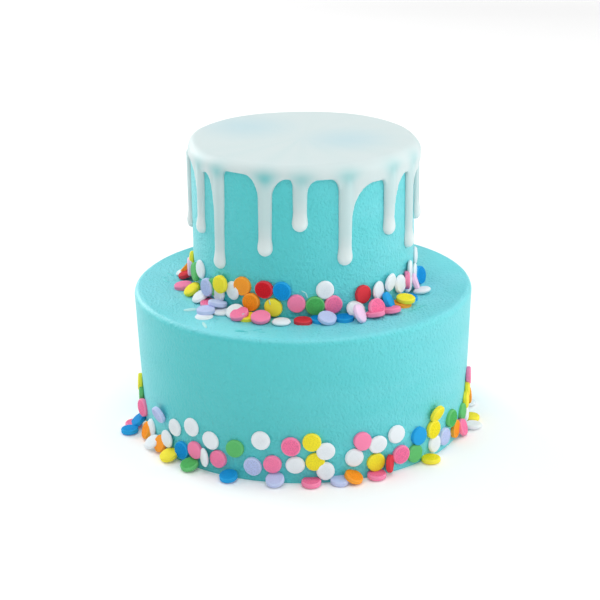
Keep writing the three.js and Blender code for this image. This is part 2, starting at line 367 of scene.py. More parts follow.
def addFloor():
    level = cadBox[0].z - studio["floorDrop"] * mm
    bpy.ops.mesh.primitive_plane_add(size=studio["floorSize"] * mm, location=(0, 0, level))
    floor = bpy.context.object
    floor.name = "floor"
    material, nodes, links, shader = newMaterial("whitePaper", studio["floorColour"],
                                                 studio["floorRoughness"])
    shader.inputs["Specular IOR Level"].default_value = 0
    shader.inputs["Emission Color"].default_value = (1, 1, 1, 1)
    near = nearness(nodes, links, (0, 0, 0), studio["farReach"] * mm)
    glow = remap(nodes, links, near, *studio["glowChange"], studio["farGlow"], studio["floorGlow"])
    links.new(glow, shader.inputs["Emission Strength"])
    dress(floor, material)


deselectAll()
addCamera()
addStudio()
addFloor()
print("camera, lights and floor are in place")


# Buttercream

buttercream = {
    "colour": (0.285, 0.82, 0.835),
    "paintedShadeColour": (0.25, 0.755, 0.765),  # painted shade, low on the front-left; the back takes the same deeper tone
    "paintedSheenColour": (0.47, 0.855, 0.895),  # painted sheen: lighter on the ledge and the sides, where light falls and grazes
    "roughness": 0.6, "specular": 0.5,
    "coat": 0.5, "coatRoughness": 0.42,  # a fatty film that takes a pale sheen where light grazes it
    "softness": 0.12, "softRadius": (0.5, 1, 1), "softScale": 3,
    "streak": 22,                        # size of the streaks that break up the painted sheen
    # size and depth of each kind of unevenness, from the broadest to the finest
    "swell": (34, 0.5),
    "ripple": (7, 0.12),
    "pebble": (1.7, 1.1),
    "grain": (0.8, 0.4),
}
tones = {
    # the angle at which each part of the wall starts, the left's counted to the left, and the
    # degrees over which it sets in
    "back": (105, 35), "right": (-12, 60), "left": (45, 35),
    "wallPale": 0.05, "sidePale": 0.4, "ledgePale": 0.85, "backLedgePale": 0.5,
    "ledgeDrop": 2.5, "ledgeFade": 2,    # how far below the ledge its painted sheen starts, and over what height
    "deepAt": -18, "deepWidth": 40,      # where on the front the painted shade lies, and how wide
    "deepMost": 1.25, "deepLeast": 0.4, "deepHeight": 110,  # and how it lessens up the wall
}
lowerCream = {
    "footRadius": 105.7, "shoulderRadius": 109.5, "height": 94.7, "rounding": 4,
    "sides": 560, "wallCuts": 76, "ledgeStep": 1.25, "ledgeSteps": 32,
}
upperCream = {
    "radius": 71, "rounding": 5, "sides": 380, "wallCuts": 76,
}
roundingSegments = 6
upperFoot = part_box("upper_tier")[0].z
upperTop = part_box("upper_tier")[1].z
upperShift = 0.75 * mm                   # the upper tier stands a hair to the right


def creamFinish():
    material, nodes, links, shader = newMaterial("smoothCream", buttercream["colour"],
                                                 buttercream["roughness"])
    shader.inputs["Specular IOR Level"].default_value = buttercream["specular"]
    shader.inputs["Coat Weight"].default_value = buttercream["coat"]
    shader.inputs["Coat Roughness"].default_value = buttercream["coatRoughness"]
    soften(shader, buttercream)
    # painted shade low on the front-left, and the same deeper tone round the back
    paintedShade = storedValue(nodes, "paintedShade")
    shade = mixColours(nodes, links, paintedShade, buttercream["colour"], buttercream["paintedShadeColour"])
    # painted sheen on the ledge and the sides, where light falls and grazes, broken into streaks
    streaks = objectNoise(nodes, links, buttercream["streak"] * mm, 3, (0.5, 0.5, 1.6))
    share = nodes.new("ShaderNodeMath")
    share.operation = "MULTIPLY"
    links.new(storedValue(nodes, "pale"), share.inputs[0])
    links.new(remap(nodes, links, streaks, 0.3, 0.7, 0.7, 1.3), share.inputs[1])
    shade = mixColours(nodes, links, share.outputs["Value"], shade, buttercream["paintedSheenColour"])
    links.new(shade, shader.inputs["Base Color"])
    pebbleSize, pebbleDepth = buttercream["pebble"]
    grainSize, grainDepth = buttercream["grain"]
    pebble = objectNoise(nodes, links, pebbleSize * mm, 1, (1, 1, 0.85))
    grain = objectNoise(nodes, links, grainSize * mm, 2)
    addBumps(nodes, links, shader, [(pebble, pebbleDepth * mm), (grain, grainDepth * mm)])
    return material


def addUnevenness(piece, name, size, depth):
    clouds = bpy.data.textures.new(name, "CLOUDS")
    clouds.noise_scale = size * mm
    clouds.noise_depth = 1
    applyModifier(piece, "DISPLACE", texture=clouds, texture_coords="LOCAL",
                  strength=depth * mm, mid_level=0.5)


def storeTones(piece, ledgeHeight):
    # painted light and shade: the cream is painted palest on the ledge, where light falls from above, and
    # pale to the right and far left, where light grazes it; painted shade makes it deepest low on the
    # front
    points = pointsOf(piece) / mm
    degrees = anglesOf(points)
    height = points[:, 2]
    back = rising(np.abs(degrees), *tones["back"])
    sides = np.maximum(rising(degrees, *tones["right"]), rising(-degrees, *tones["left"]))
    ledge = rising(height, ledgeHeight - tones["ledgeDrop"], tones["ledgeFade"])
    wallPale = tones["wallPale"] + tones["sidePale"] * sides * (1 - back)
    ledgePale = tones["ledgePale"] + (tones["backLedgePale"] - tones["ledgePale"]) * back
    # the pale share is painted sheen
    storeOnPoints(piece, "pale", np.maximum(wallPale, ledgePale * ledge))
    # painted shade low on the front, and a deeper tone round the back
    low = np.clip(tones["deepMost"] - height / tones["deepHeight"], tones["deepLeast"], 1) * (1 - ledge)
    front = np.exp(-((degrees - tones["deepAt"]) / tones["deepWidth"]) ** 2)
    storeOnPoints(piece, "paintedShade", np.maximum(front * low, back))


def makeDrum(name, sides, footRadius, radius, foot, height, rounding, wallCuts):
    # a drum with a rounded shoulder, its wall cut into rings
    bpy.ops.mesh.primitive_cylinder_add(vertices=sides, radius=radius * mm, depth=height * mm,
                                        location=(0, 0, foot + height * mm / 2))
    drum = bpy.context.object
    drum.name = name
    settle(drum)
    top = foot + height * mm
    startEdit(drum, "VERT")
    pick("verts", lambda vertex: vertex.co.z < foot + hair)
    share = footRadius / radius
    bpy.ops.transform.resize(value=(share, share, 1), center_override=(0, 0, foot))
    bpy.ops.mesh.select_mode(type="EDGE")
    pick("edges", lambda edge: min(heightsOf(edge)) > top - hair)
    bpy.ops.mesh.bevel(offset=rounding * mm, segments=roundingSegments, profile=0.5, affect="EDGES")
    pick("edges", isUpright)
    bpy.ops.mesh.subdivide(number_cuts=wallCuts)
    endEdit()
    return drum


def roughen(drum, name):
    for kind in ("swell", "ripple"):
        addUnevenness(drum, name + kind.title(), *buttercream[kind])


def finishCream(drum, ledgeHeight, node):
    storeTones(drum, ledgeHeight)
    shadeSmooth(drum, 60)
    dress(drum, creamMaterial)
    handIn(drum, "buttercream", node)


def makeLowerCream():
    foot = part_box("lower_tier")[0].z
    drum = makeDrum("lower_cream", lowerCream["sides"], lowerCream["footRadius"],
                    lowerCream["shoulderRadius"], foot, lowerCream["height"], lowerCream["rounding"],
                    lowerCream["wallCuts"])
    top = foot + lowerCream["height"] * mm
    startEdit(drum, "FACE")
    pick("faces", lambda face: min(heightsOf(face)) > top - hair)
    for _ in range(lowerCream["ledgeSteps"]):
        bpy.ops.mesh.inset(thickness=lowerCream["ledgeStep"] * mm)
    endEdit()
    roughen(drum, "lower")
    points = pointsOf(drum)
    points[:, 2] = np.maximum(points[:, 2], foot)   # the foot stays flat
    setPoints(drum, points)
    finishCream(drum, lowerCream["height"], "lower_tier")


def makeUpperCream():
    drum = makeDrum("upper_cream", upperCream["sides"], upperCream["radius"], upperCream["radius"],
                    upperFoot, (upperTop - upperFoot) / mm, upperCream["rounding"],
                    upperCream["wallCuts"])
    drum.location.x = upperShift
    settle(drum)
    roughen(drum, "upper")
    # the icing hides the top, so that nothing here takes a ledge's painted sheen
    finishCream(drum, upperTop / mm + 10, "upper_tier")


creamMaterial = creamFinish()
makeLowerCream()
makeUpperCream()
print("the two tiers are creamed")


# Drip icing

icing = {
    "colour": (0.815, 0.869, 0.869),
    "thinColour": (0.24, 0.75, 0.76),   # the cream showing through
    "poolColour": (0.755, 0.848, 0.868),
    "bulbColour": (0.875, 0.912, 0.91),  # thick enough at the drips' ends to hide the cream
    "roughness": 0.45, "specular": 0.2,
    "softness": 0.3, "softRadius": (0.9, 1, 1), "softScale": 2.5,
    "wave": (5, 0.08),                  # size and depth
    "top": 1.5,                         # thickness over the tier's top
    "shoulderRadius": 74, "rounding": 8, "edgeProud": 1.8,
    "edgeBlend": 14,                    # how far down the shoulder's radius turns into the edge's
    "stemHalfWidth": 4.65, "neckHalfWidth": 4.3, "stemProud": 2.9,
    "gapStart": 0.9,                    # a gap's edge meets a stem this share of its half width out
    "bulbHalfWidth": 4.95, "bulbProud": 4.1, "bulbLength": 12, "bulbBluntness": 0.8,
    "bulbReach": 7,                     # degrees to each side that belong to a drip's bulb
    "slant": 0.02,                      # the drips run a touch to the left
    "rootDepth": 5, "sides": 480, "rings": 12, "topRings": 8, "cutterSides": 240,
    "voxel": 0.75, "smoothing": 6,
    "bite": 0.4,                        # how far it reaches into the tier, so that no gap shows
    "shift": 1.2,
    # angle, half width in degrees, rise and swell of the lumps along the shoulder
    "lumps": [(-128, 34, 1.2, 0.2), (-95, 18, 1.9, -1.1), (80, 13, 0, 1.7), (150, 16, 0.2, -0.5),
              (25, 30, 0.2, 0.3)],
    "riseDepth": 24, "swellDepth": 20,  # how far down they reach
    # place and reach of the bluish pools on top
    "pools": [((29, -8), 40), ((-36, 26), 44)],
}
# how the cream shows through at a drip: a patch at its root, and faintly along its stem
seeThrough = {
    "root": 0.74, "rootAside": 1.2, "rootDepth": 5.8, "rootHeight": 4.4,
    "rootWidth": 7.4, "rootTaper": 0.4,
    "stem": 0.16, "stemWidth": 6,
}
# at is the angle from the front in degrees, fall the depth of the tip under the tier's top, arch the
# depth of the icing's edge in the gap to the right, and a web the fillet between a drip and that
# edge, as its width and height. thin is how much cream shows through at the root.
frontDrips = [
    {"at": -87, "fall": 56, "leftWeb": (3, 6), "arch": 7, "rightWeb": (3, 6), "thin": 0.3},
    {"at": -62.6, "fall": 51, "leftWeb": (13, 24), "arch": 9.3, "rightWeb": (2, 5), "thin": 0.5},
    {"at": -46.6, "fall": 69, "leftWeb": (6, 25), "arch": 4.8, "rightWeb": (4, 8), "thin": 0.7},
    {"at": -19.4, "fall": 55.5, "leftWeb": (7.5, 14), "arch": 5.9, "rightWeb": (10.5, 15), "thin": 0.95},
    {"at": -2, "fall": 39, "leftWeb": (2, 4), "arch": 6.7, "rightWeb": (7, 10), "thin": 0.6},
    {"at": 20.4, "fall": 62, "leftWeb": (5.5, 8), "arch": 12.2, "rightWeb": (15, 22), "thin": 0.6},
    {"at": 47, "fall": 48.5, "leftWeb": (2.5, 5), "arch": 12.6, "rightWeb": (12, 24), "thin": 0.52},
    {"at": 66.5, "fall": 63.5, "leftWeb": (1.5, 3), "arch": 17, "rightWeb": (9, 20), "thin": 0.38},
    {"at": 86, "fall": 52, "leftWeb": (2, 4), "arch": 9, "rightWeb": (8, 14), "thin": 0.3},
]
# limits between which the sizes are drawn; drift is a share of the spacing
backDrips = {
    "count": 8, "seed": 55, "drift": (-0.12, 0.12), "fall": (38, 68), "arch": (6, 13),
    "leftWeb": ((2, 6), (3, 8)), "rightWeb": ((6, 11), (8, 18)), "thin": 0.35,
}


def allDrips():
    # the nine of the front, then evenly spread ones with seeded sizes
    draws = seededDraws(backDrips["seed"])
    last = frontDrips[-1]["at"]
    step = (frontDrips[0]["at"] + 360 - last) / (backDrips["count"] + 1)
    drips = list(frontDrips)
    for i in range(1, backDrips["count"] + 1):
        drips.append({
            "at": last + step * (i + between(draws, *backDrips["drift"])),
            "fall": between(draws, *backDrips["fall"]),
            "leftWeb": [between(draws, *limits) for limits in backDrips["leftWeb"]],
            "arch": between(draws, *backDrips["arch"]),
            "rightWeb": [between(draws, *limits) for limits in backDrips["rightWeb"]],
            "thin": backDrips["thin"],
        })
    return drips


def webDrop(web, along):
    # how far the edge hangs below its arch: a quarter ellipse over the web's width
    width, height = web
    if along >= width:
        return 0
    return height * (1 - math.sqrt(1 - (1 - along / width) ** 2))


def edgeDepth(drips, degrees):
    # the depth of the sheet's lower edge at an angle round the tier
    mmPerDegree = math.pi * upperCream["radius"] / 180
    halfDrip = icing["stemHalfWidth"] * icing["gapStart"]
    for i, drip in enumerate(drips):
        follower = drips[(i + 1) % len(drips)]
        span = (follower["at"] - drip["at"]) % 360
        past = (degrees - drip["at"]) % 360
        if past >= span:
            continue
        gap = span * mmPerDegree - 2 * halfDrip
        along = min(max(past * mmPerDegree - halfDrip, 0), gap)
        return drip["arch"] + webDrop(drip["rightWeb"], along) + webDrop(follower["leftWeb"], gap - along)
    return 0


def lumpAt(degrees):
    # how far the shoulder is raised and swollen at an angle
    rise = swell = 0
    for at, halfWidth, lumpRise, lumpSwell in icing["lumps"]:
        share = math.exp(-(anglePast(degrees, at) / halfWidth) ** 2)
        rise, swell = rise + lumpRise * share, swell + lumpSwell * share
    return rise, swell


def sheetPoint(degrees, ring, edge):
    # the place on the sheet's face of one of its rings, from the top's rim down to the lower edge
    if ring == icing["rings"]:
        return upperCream["radius"] - 3, -edge      # the lower edge turns in under the tier's wall
    rounding = icing["rounding"]
    rise, swell = lumpAt(degrees)
    below = (edge + icing["top"]) * (1 - math.cos(math.pi / 2 * ring / (icing["rings"] - 1)))
    radius = icing["shoulderRadius"] - rounding
    if below < rounding:
        radius += math.sqrt(rounding ** 2 - (rounding - below) ** 2)
    else:
        radius += rounding
    taper = upperCream["radius"] + icing["edgeProud"] - icing["shoulderRadius"]
    radius += taper * min(below / icing["edgeBlend"], 1) ** 2
    radius += swell * math.sin(math.pi * min(below / icing["swellDepth"], 1))
    return radius, icing["top"] - below + rise * max(0, 1 - below / icing["riseDepth"])


def makeSheet(drips):
    # the icing over the top and shoulder, its lower edge drawn down beside each drip: a drum of
    # height 1 and radius 1, cut into rings, whose points are then moved to their places
    bpy.ops.mesh.primitive_cylinder_add(vertices=icing["sides"], radius=1, depth=1)
    sheet = bpy.context.object
    startEdit(sheet, "EDGE")
    pick("edges", isUpright)
    bpy.ops.mesh.subdivide(number_cuts=icing["rings"] - 1)
    bpy.ops.mesh.select_mode(type="FACE")
    pick("faces", lambda face: min(heightsOf(face)) > 0.5 - hair)
    for _ in range(icing["topRings"]):
        bpy.ops.mesh.inset(thickness=0.1)
    endEdit()
    points = pointsOf(sheet)
    for i, (x, y, z) in enumerate(points):
        degrees = math.degrees(math.atan2(x, -y))
        ring = round((0.5 - z) * icing["rings"])
        radius, height = sheetPoint(degrees, ring, edgeDepth(drips, degrees))
        reach = 1
        if ring == 0:       # a lump on the rim dies away towards the middle
            reach = math.hypot(x, y)
            height = icing["top"] + (height - icing["top"]) * reach ** 2
        turn = math.radians(degrees)
        points[i] = (radius * reach * math.sin(turn) * mm, -radius * reach * math.cos(turn) * mm,
                     upperTop + height * mm)
    setPoints(sheet, points)
    return sheet


def dripRings(fall):
    # depth, half width and stand-off of each ring down a drip: a narrowing stem that swells to a bulb
    neck = fall - icing["bulbLength"]
    bulbMiddle = fall - icing["bulbHalfWidth"]
    narrowing = icing["stemHalfWidth"] - icing["neckHalfWidth"]
    rings = [(neck * share, icing["stemHalfWidth"] - narrowing * (share - 0.4) / 0.6, icing["stemProud"])
             for share in (0.4, 0.7, 1)]
    for share in (0.25, 0.5, 0.75, 1):
        blend = share * share * (3 - 2 * share)
        rings.append((neck + (bulbMiddle - neck) * share,
                      icing["neckHalfWidth"] + (icing["bulbHalfWidth"] - icing["neckHalfWidth"]) * blend,
                      icing["stemProud"] + (icing["bulbProud"] - icing["stemProud"]) * blend))
    for degrees in (20, 40, 58, 74, 86):
        turn = math.radians(degrees)
        bluntness = math.cos(turn) ** icing["bulbBluntness"]
        rings.append((bulbMiddle + icing["bulbHalfWidth"] * math.sin(turn),
                      icing["bulbHalfWidth"] * math.cos(turn), icing["bulbProud"] * bluntness))
    return rings


def makeDrip(drip):
    # an oval disc at the root, drawn down ring by ring at the front, then turned to its place
    radius = upperCream["radius"] * mm
    depth = icing["rootDepth"]
    halfWidth, proud = icing["stemHalfWidth"], icing["stemProud"]
    bpy.ops.mesh.primitive_circle_add(vertices=24, radius=1, fill_type="NGON")
    piece = bpy.context.object
    piece.scale = (halfWidth * mm, proud * mm, 1)
    side = icing["slant"] * drip["fall"] / 2
    piece.location = (side * mm, -radius, upperTop - depth * mm)
    settle(piece)
    startEdit(piece, "FACE")
    bpy.ops.mesh.select_all(action="SELECT")
    for nextDepth, nextHalfWidth, nextProud in dripRings(drip["fall"]):
        drift = icing["slant"] * (depth - nextDepth)
        bpy.ops.mesh.extrude_region_move(
            TRANSFORM_OT_translate={"value": (drift * mm, 0, (depth - nextDepth) * mm)})
        side += drift
        bpy.ops.transform.resize(value=(nextHalfWidth / halfWidth, nextProud / proud, 1),
                                 center_override=(side * mm, -radius, upperTop - nextDepth * mm))
        depth, halfWidth, proud = nextDepth, nextHalfWidth, nextProud
    bpy.ops.mesh.select_all(action="SELECT")
    bpy.ops.mesh.normals_make_consistent(inside=False)
    endEdit()
    piece.rotation_euler.z = math.radians(drip["at"])
    settle(piece)
    return piece


def hollowOut(piece):
    # cuts away what would lie inside the tier
    radius = (upperCream["radius"] - icing["bite"]) * mm
    bpy.ops.mesh.primitive_cylinder_add(vertices=icing["cutterSides"], radius=radius,
                                        depth=upperTop - upperFoot,
                                        location=(0, 0, (upperTop + upperFoot) / 2))
    cutter = bpy.context.object
    settle(cutter)
    startEdit(cutter, "EDGE")
    pick("edges", lambda edge: min(heightsOf(edge)) > upperTop - hair)
    bpy.ops.mesh.bevel(offset=upperCream["rounding"] * mm, segments=roundingSegments, profile=0.5,
                       affect="EDGES")
    endEdit()
    applyModifier(piece, "BOOLEAN", operation="DIFFERENCE", solver="MANIFOLD", object=cutter)
    removePiece(cutter)


def thinness(piece, drips):
    # how much of the cream shows through at each point
    points = pointsOf(piece)
    degrees = anglesOf(points)
    depth = (upperTop - points[:, 2]) / mm
    thin = np.zeros(len(points))
    for drip in drips:
        across = np.radians(anglePast(degrees, drip["at"])) * upperCream["radius"]
        width = seeThrough["rootWidth"] - seeThrough["rootTaper"] * np.clip(depth - 3, 0, 10)
        aside = (across - seeThrough["rootAside"]) / width
        above = (depth - seeThrough["rootDepth"]) / seeThrough["rootHeight"]
        root = seeThrough["root"] * drip["thin"] * np.exp(-aside ** 2 - above ** 2)
        stem = seeThrough["stem"] * np.exp(-(across / seeThrough["stemWidth"]) ** 4)
        stem *= rising(depth, 6, 6) * rising(-depth, 11 - drip["fall"], 10)     # from root to bulb
        thin = np.maximum(thin, root + stem)
    return thin


def fullness(piece, drips):
    # 1 at the bulb of each drip
    points = pointsOf(piece)
    degrees = anglesOf(points)
    depth = (upperTop - points[:, 2]) / mm
    full = np.zeros(len(points))
    for drip in drips:
        near = np.abs(anglePast(degrees, drip["at"])) < icing["bulbReach"]
        full = np.maximum(full, near * rising(depth, drip["fall"] - 13, 9))
    return full


def icingFinish():
    material, nodes, links, shader = newMaterial("dripIcing", icing["colour"], icing["roughness"])
    shader.inputs["Specular IOR Level"].default_value = icing["specular"]
    soften(shader, icing)
    shade = icing["colour"]
    for (x, y), reach in icing["pools"]:
        share = nearness(nodes, links, (x * mm, y * mm, upperTop), reach * mm)
        shade = mixColours(nodes, links, share, shade, icing["poolColour"])
    shade = mixColours(nodes, links, storedValue(nodes, "full"), shade, icing["bulbColour"])
    shade = mixColours(nodes, links, storedValue(nodes, "thin"), shade, icing["thinColour"])
    links.new(shade, shader.inputs["Base Color"])
    waveSize, waveDepth = icing["wave"]
    addBumps(nodes, links, shader, [(objectNoise(nodes, links, waveSize * mm, 1), waveDepth * mm)])
    return material


def makeDripIcing():
    drips = allDrips()
    parts = [makeSheet(drips)] + [makeDrip(drip) for drip in drips]
    piece = joinAll("drip_icing_coat", parts)
    applyModifier(piece, "REMESH", mode="VOXEL", voxel_size=icing["voxel"] * mm)
    applyModifier(piece, "SMOOTH", factor=0.5, iterations=icing["smoothing"])
    hollowOut(piece)
    storeOnPoints(piece, "thin", thinness(piece, drips))
    storeOnPoints(piece, "full", fullness(piece, drips))
    piece.location.x = icing["shift"] * mm
    settle(piece)
    shadeSmooth(piece, 180)
    dress(piece, icingFinish())
    handIn(piece, "drip_icing", "drip_icing")


makeDripIcing()
print("the icing has run down in drips")


# Sugar confetti

tablet = {
    "radius": 5.85, "thickness": 3.2, "sides": 16,
    "sink": 0.7, "footGap": 0.3,
    "heightDrift": 0.4, "leanDrift": 3, "twistDrift": 3, "turnRange": 360 / 7,
    "backReach": 69.5,                  # the back repeats those within this angle of the front
    "sizeDrift": 0.05, "rimMargin": 0.3,
    "seeds": {"ledge": 11, "lowerWall": 22, "floor": 33, "upperWall": 44, "sizes": 77},
    "roughness": 0.75, "specular": 0.14,
    # sizes of the speckles and the grain; the white kind has fainter ones
    "speckle": 0.75, "speckleTint": 0.9, "whiteSpeckleTint": 0.97,
    "grain": 0.5, "grainDepth": 0.12, "whiteGrainDepth": 0.04,
    "rimPaleness": 0.16,
    "fade": (-0.3, 0.9),                # limits of how far a whole tablet has faded; under 0 is not at all
}
# colour, width of the rounded edge, rise of the face, and width of the ring over which it rises
sugarKinds = {
    "w": ("sugar_white", (0.9, 0.927, 0.945), 0.9, 0.4, 2.6),
    "p": ("sugar_pink", (0.975, 0.46, 0.64), 0.6, 0.08, 0.4),
    "k": ("sugar_pale_pink", (0.94, 0.78, 0.91), 0.7, 0.1, 0.5),
    "y": ("sugar_yellow", (0.965, 0.9, 0.14), 0.6, 0.1, 0.4),
    "o": ("sugar_orange", (1.0, 0.585, 0.09), 0.5, 0.06, 0.4),
    "r": ("sugar_red", (0.84, 0.11, 0.16), 0.6, 0.08, 0.4),
    "g": ("sugar_green", (0.3, 0.71, 0.36), 0.6, 0.08, 0.4),
    "b": ("sugar_blue", (0.0, 0.575, 0.87), 0.5, 0.08, 0.4),
    "l": ("sugar_lilac", (0.73, 0.78, 0.945), 0.6, 0.06, 0.4),
}
# the back half repeats the front with these colours in place of its own
backKind = {"w": "w", "y": "p", "p": "y", "k": "g", "g": "k", "r": "b", "b": "r", "o": "l", "l": "o"}

# Each row lists its tablets as a colour's letter and an angle from the front in degrees. up is the
# height of their middles over the ring's foot, out their distance from the wall, lift how high they
# lie on others, proud how far they stand off the wall, lean their tilt from lying flat (90 on a
# wall unless it is given) and twist their sideways turn.
upperWallRows = [
    {"up": 19, "tablets": "w-65"},
    {"up": 17.6, "tablets": "o-32 r-20 b-11 w10"},
    {"up": 18, "tablets": "w85"},
    {"up": 16, "twist": -6, "tablets": "y-88"},
    {"up": 16, "twist": 16, "proud": 0.6, "tablets": "w67.5"},
    {"up": 15.9, "proud": 1.9, "tablets": "y-45"},
    {"up": 14.4, "lean": 98, "twist": 12, "proud": 0.8, "tablets": "w47.4"},
    {"up": 13.6, "twist": 4, "proud": 0.4, "tablets": "g-73.5"},
    {"up": 13.6, "twist": -10, "tablets": "w-38"},
    {"up": 12.5, "proud": 1.8, "tablets": "k-86"},
    {"up": 11.8, "twist": 10, "tablets": "g-51 r30"},
    {"up": 11.6, "twist": 20, "proud": 0.8, "tablets": "w39"},
    {"up": 10.5, "twist": -4, "proud": 0.6, "tablets": "w56"},
    {"up": 10.5, "twist": 26, "proud": 0.8, "tablets": "p63.2"},
    {"up": 10.6, "lean": 86, "twist": 2, "proud": 2, "tablets": "l-55.4"},
    {"up": 9.6, "tablets": "p-4"},
    {"up": 9.6, "tablets": "w-48"},
    {"up": 8.2, "tablets": "g5 p14 w81"},
    {"up": 8.4, "proud": 0.5, "tablets": "o-27"},
    {"up": 6.8, "tablets": "y-15.5 w66"},
]
ledgeRows = [
    {"out": 19, "lift": -1.2, "lean": 3, "tablets": "w-43.6"},
    {"out": 15.4, "lift": 1.5, "lean": 4, "tablets": "l-45"},
    {"out": 6, "lift": 2.8, "lean": -12, "tablets": "l-44.5"},
    {"out": 9.6, "lean": -3, "tablets": "w-10.3"},
    {"out": 8.6, "lift": -0.3, "lean": -11, "tablets": "w69.9"},
    {"out": 7.5, "lean": 1, "tablets": "w-40.9 y-27 r-0.9 b17.9 o50.8"},
    {"out": 5.4, "lean": 1, "tablets": "b7 b58.6"},
    {"out": 9.3, "lift": 2.7, "lean": 6, "tablets": "y51.7"},
    {"out": 11.6, "lean": -12, "tablets": "p31.5 p40.3"},
    {"out": 9.8, "lift": 0.5, "lean": 19, "twist": -18, "tablets": "p-29.8"},
    {"out": 9.8, "lift": 0.5, "lean": 19, "twist": 18, "tablets": "p-19.5 l9.6"},
    {"out": 7.6, "lean": 7, "tablets": "p-82"},
    {"out": 7.8, "lean": 30, "tablets": "w-33.2"},
    {"out": 4.6, "lean": 31, "tablets": "y-71 w-60.2"},
    {"out": 4.6, "lean": 45, "tablets": "w24.5"},
    {"out": 10, "lean": 62, "tablets": "p33"},
    {"out": 8, "lean": 50, "tablets": "o-102"},
    {"out": 13.8, "lean": 62, "twist": 50, "tablets": "k23.2"},
    {"out": 5.3, "lean": 60, "twist": 35, "tablets": "b43"},
    {"out": 3.2, "lean": 70, "twist": 14, "tablets": "k73"},
    {"out": 4.2, "lean": 80, "twist": -26, "tablets": "b84"},
    {"out": 3.4, "lean": 5, "tablets": "p-53.4"},
    {"out": 6, "lift": 0.4, "lean": 20, "tablets": "r-96"},
    {"out": 9, "lean": 16, "tablets": "w-100.5"},
]
lowerWallRows = [
    {"up": 34, "proud": 0.6, "tablets": "p80.5"},
    {"up": 30.5, "lean": 112, "proud": 1.6, "tablets": "y49"},
    {"up": 30.5, "proud": 0.5, "tablets": "y-84"},
    {"up": 28.2, "tablets": "w-41 w-14.7 y2"},
    {"up": 26, "proud": 0.5, "tablets": "y79.5"},
    {"up": 26.5, "lean": 112, "proud": 1.6, "tablets": "l-58"},
    {"up": 25.8, "tablets": "p-4.8 p18.8 w31.3"},
    {"up": 23.6, "proud": 0.5, "tablets": "g-82.5 b86"},
    {"up": 22.6, "tablets": "w-49.5 w-33"},
    {"up": 22, "proud": 1.1, "tablets": "w6.4 w24"},
    {"up": 21, "tablets": "g-23.8"},
    {"up": 19.6, "proud": 0.5, "tablets": "y48 y77"},
    {"up": 19.2, "tablets": "b41 g60"},
    {"up": 16.8, "proud": 1, "twist": 14, "tablets": "p-77 o85"},
    {"up": 15.3, "tablets": "y3 w16 g71.5"},
    {"up": 12.9, "tablets": "p-40 p-11 w-3.5"},
    {"up": 12.3, "proud": 1.2, "tablets": "w-54"},
    {"up": 11.3, "tablets": "p-30.3 p33.3"},
    {"up": 10.7, "twist": -36, "proud": 1.5, "tablets": "w-35.5"},
    {"up": 10, "tablets": "w-67.6 l-17.7 y23.7 l55.4"},
    {"up": 9, "proud": 1, "tablets": "w6.3 w78"},
    {"up": 8.6, "tablets": "b-46.4 g39.3 w49.3 o64.2"},
    {"up": 8.4, "proud": 0.5, "tablets": "y-84 w-91"},
    {"up": 7.6, "twist": 46, "proud": 2, "tablets": "r28.4"},
]
floorRows = [
    {"out": 8.4, "lean": 3, "tablets": "p-82"},
    {"out": 12, "lean": 1, "tablets": "b-77.3"},
    {"out": 5.4, "lean": 38, "tablets": "b-81 w-62"},
    {"out": 5.4, "lean": 20, "tablets": "y-51 g-40.8"},
    {"out": 5.3, "lean": 10, "tablets": "b-25.5"},
    {"out": 4.2, "lean": 22, "tablets": "l-10"},
    {"out": 4.4, "lean": 24, "twist": 50, "tablets": "o15.3"},
    {"out": 3.6, "lean": 5, "tablets": "p1.6 l10.8 p23.4"},
    {"out": 4.8, "lean": 1, "tablets": "y45.2 y83 w96"},
    {"out": 7.3, "lean": 2, "tablets": "w76.4"},
    {"out": 3.2, "lean": 70, "tablets": "o-70.4 o-58 p69.2"},
]


def tabletsOf(row):
    # the colour's letter and the angle of each tablet of a row, in front and repeated at the back
    front = [(word[0], float(word[1:])) for word in row["tablets"].split()]
    repeated = [(kind, angle) for kind, angle in front if abs(angle) < tablet["backReach"]]
    return front + [(backKind[kind], angle + 180) for kind, angle in repeated]


def halfRise(lean):
    # half the height of a tablet that leans
    turn = abs(math.radians(lean))
    return tablet["radius"] * math.sin(turn) + tablet["thickness"] / 2 * math.cos(turn)


def placeOf(angle, distance, height, lean, twist, turn, shift=0):
    # the place at an angle round the cake, a distance from its axis and a height over its foot
    rad = math.radians
    return (Matrix.Translation((shift, 0, 0)) @ Matrix.Rotation(rad(angle), 4, "Z")
            @ Matrix.Translation((0, -distance * mm, height * mm)) @ Matrix.Rotation(rad(twist), 4, "Z")
            @ Matrix.Rotation(rad(lean), 4, "X") @ Matrix.Rotation(rad(turn), 4, "Z"))


def wallPlaces(rows, foot, wallRadius, seed, shift=0):
    # tablets stuck upright on a wall; wallRadius gives its radius at a height over its foot
    draws = seededDraws(seed)
    for row in rows:
        for kind, angle in tabletsOf(row):
            up = row["up"] + between(draws, -tablet["heightDrift"], tablet["heightDrift"])
            lean = row.get("lean", 90) - between(draws, 0, tablet["leanDrift"])
            twist = row.get("twist", 0) + between(draws, -tablet["twistDrift"], tablet["twistDrift"])
            turn = between(draws, 0, tablet["turnRange"])
            distance = wallRadius(up) + tablet["thickness"] / 2 - tablet["sink"] + row.get("proud", 0)
            height = foot + max(up, tablet["radius"] + tablet["footGap"])
            yield kind, placeOf(angle, distance, height, lean, twist, turn, shift)


def lyingPlaces(rows, level, wallRadius, sink, seed, shift=0):
    # tablets that lie or lean on a level surface round a wall
    draws = seededDraws(seed)
    for row in rows:
        for kind, angle in tabletsOf(row):
            lean = row["lean"] + between(draws, -tablet["leanDrift"] / 2, tablet["leanDrift"] / 2)
            twist = row.get("twist", 0) + between(draws, -tablet["twistDrift"], tablet["twistDrift"])
            turn = between(draws, 0, tablet["turnRange"])
            height = level + halfRise(lean) - sink + row.get("lift", 0)
            yield kind, placeOf(angle, wallRadius + row["out"], height, lean, twist, turn, shift)


